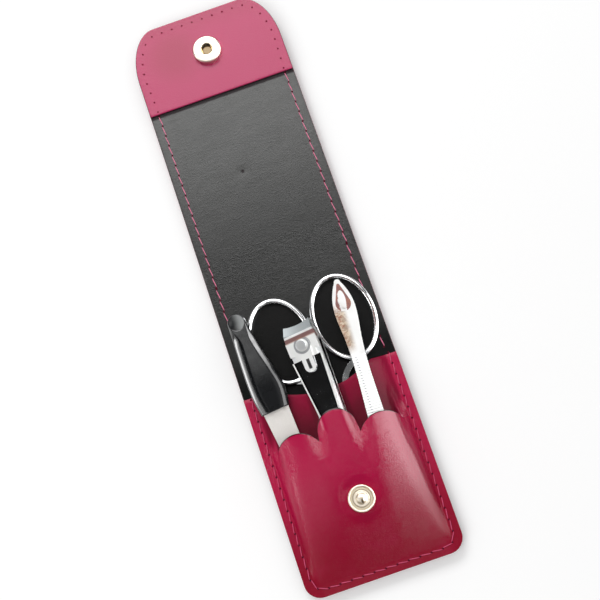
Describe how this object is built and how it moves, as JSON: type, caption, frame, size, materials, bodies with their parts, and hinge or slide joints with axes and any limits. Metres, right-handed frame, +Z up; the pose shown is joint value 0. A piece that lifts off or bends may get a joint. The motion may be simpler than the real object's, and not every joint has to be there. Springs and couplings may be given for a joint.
{
  "type": "manicure set case",
  "caption": "Open leather manicure case with a press-stud flap and a scalloped pocket holding a file, nail clipper, nail scissors and tweezers.",
  "frame": {"origin": "on the table under the middle of the open case", "axes": "+Y along the open case from the pocket towards the flap's end, +Z up out of the lining, X across"},
  "size_m": [0.06, 0.2326, 0.0168],
  "materials": {
    "outer_leather": "polished calf",
    "pocket_leather": "polished calf",
    "lining_leather": "satin",
    "snap_metal": "nickel",
    "spring_metal": "satin",
    "tool_steel": "polished",
    "file_steel": "cut",
    "handle_plastic": "gloss"
  },
  "bodies": {
    "case": {"back_cover": "outer_leather", "back_lining": "lining_leather", "front_pocket": "pocket_leather", "snap_stud": "snap_metal", "snap_stud_post": "snap_metal"},
    "spine": {"spine_cover": "outer_leather", "spine_lining": "lining_leather"},
    "flap": {"flap_cover": "outer_leather", "flap_lining": "lining_leather", "flap_facing": "outer_leather", "snap_socket": "snap_metal", "snap_socket_spring": "spring_metal", "snap_cap": "snap_metal"},
    "file": {"file_blade": "file_steel", "file_handle": "handle_plastic"},
    "clipper": {"clipper_lower_arm": "tool_steel", "clipper_rivet": "tool_steel", "clipper_pin": "tool_steel"},
    "clipper_upper": {"clipper_upper_arm": "tool_steel"},
    "clipper_lever": {"clipper_lever": "tool_steel"},
    "scissors": {"scissors_screw": "tool_steel"},
    "scissor_left": {"scissor_left_half": "tool_steel"},
    "scissor_right": {"scissor_right_half": "tool_steel"},
    "tweezers": {"tweezers_lower_arm": "tool_steel"},
    "tweezers_upper": {"tweezers_upper_arm": "tool_steel"}
  },
  "joints": [
    {"name": "spine_fold", "type": "hinge", "parent": "case", "child": "spine", "pos_m": [0, -0.00376, 0.002], "axis": [-1, 0, 0], "range_deg": [-90, 0]},
    {"name": "flap_fold", "type": "hinge", "parent": "spine", "child": "flap", "pos_m": [0, 0.01474, 0.002], "axis": [-1, 0, 0], "range_deg": [-93.15, 0]},
    {"name": "file_slide", "type": "slide", "parent": "case", "child": "file", "axis": [-0.0939, 0.9929, 0.0732], "range_m": [0, 0.065]},
    {"name": "clipper_slide", "type": "slide", "parent": "case", "child": "clipper", "axis": [-0.0523, 0.9973, 0.0523], "range_m": [0, 0.06]},
    {"name": "clipper_squeeze", "type": "hinge", "parent": "clipper", "child": "clipper_upper", "pos_m": [0.00104, -0.07027, 0.00826], "axis": [-0.9653, -0.037, -0.2585], "range_deg": [0, 2], "stiffness_Nm_per_rad": 8},
    {"name": "lever_lift", "type": "hinge", "parent": "clipper", "child": "clipper_lever", "pos_m": [-0.00214, -0.0259, 0.01378], "axis": [-0.9653, -0.037, -0.2585], "range_deg": [0, 1.5]},
    {"name": "scissors_slide", "type": "slide", "parent": "case", "child": "scissors", "axis": [-0.0436, 0.999, 0.0066], "range_m": [0, 0.055]},
    {"name": "scissors_open", "type": "hinge", "parent": "scissors", "child": "scissor_left", "pos_m": [0.0052, -0.06666, 0.00212], "axis": [0, 0, 1], "range_deg": [0, 5]},
    {"name": "scissors_mate", "type": "hinge", "parent": "scissors", "child": "scissor_right", "pos_m": [0.0052, -0.06666, 0.00212], "axis": [0, 0, 1], "range_deg": [-5, 0]},
    {"name": "tweezers_slide", "type": "slide", "parent": "case", "child": "tweezers", "axis": [0.0505, 0.9959, 0.075], "range_m": [0, 0.06]},
    {"name": "tweezers_squeeze", "type": "hinge", "parent": "tweezers", "child": "tweezers_upper", "pos_m": [0.01693, -0.02294, 0.0109], "axis": [0.9987, -0.0506, 0], "range_deg": [0, 1.1], "stiffness_Nm_per_rad": 4}
  ],
  "couplings": [
    {"joint": "flap_fold", "follows": "spine_fold", "ratio": 1.035},
    {"joint": "scissors_mate", "follows": "scissors_open", "ratio": -1}
  ]
}
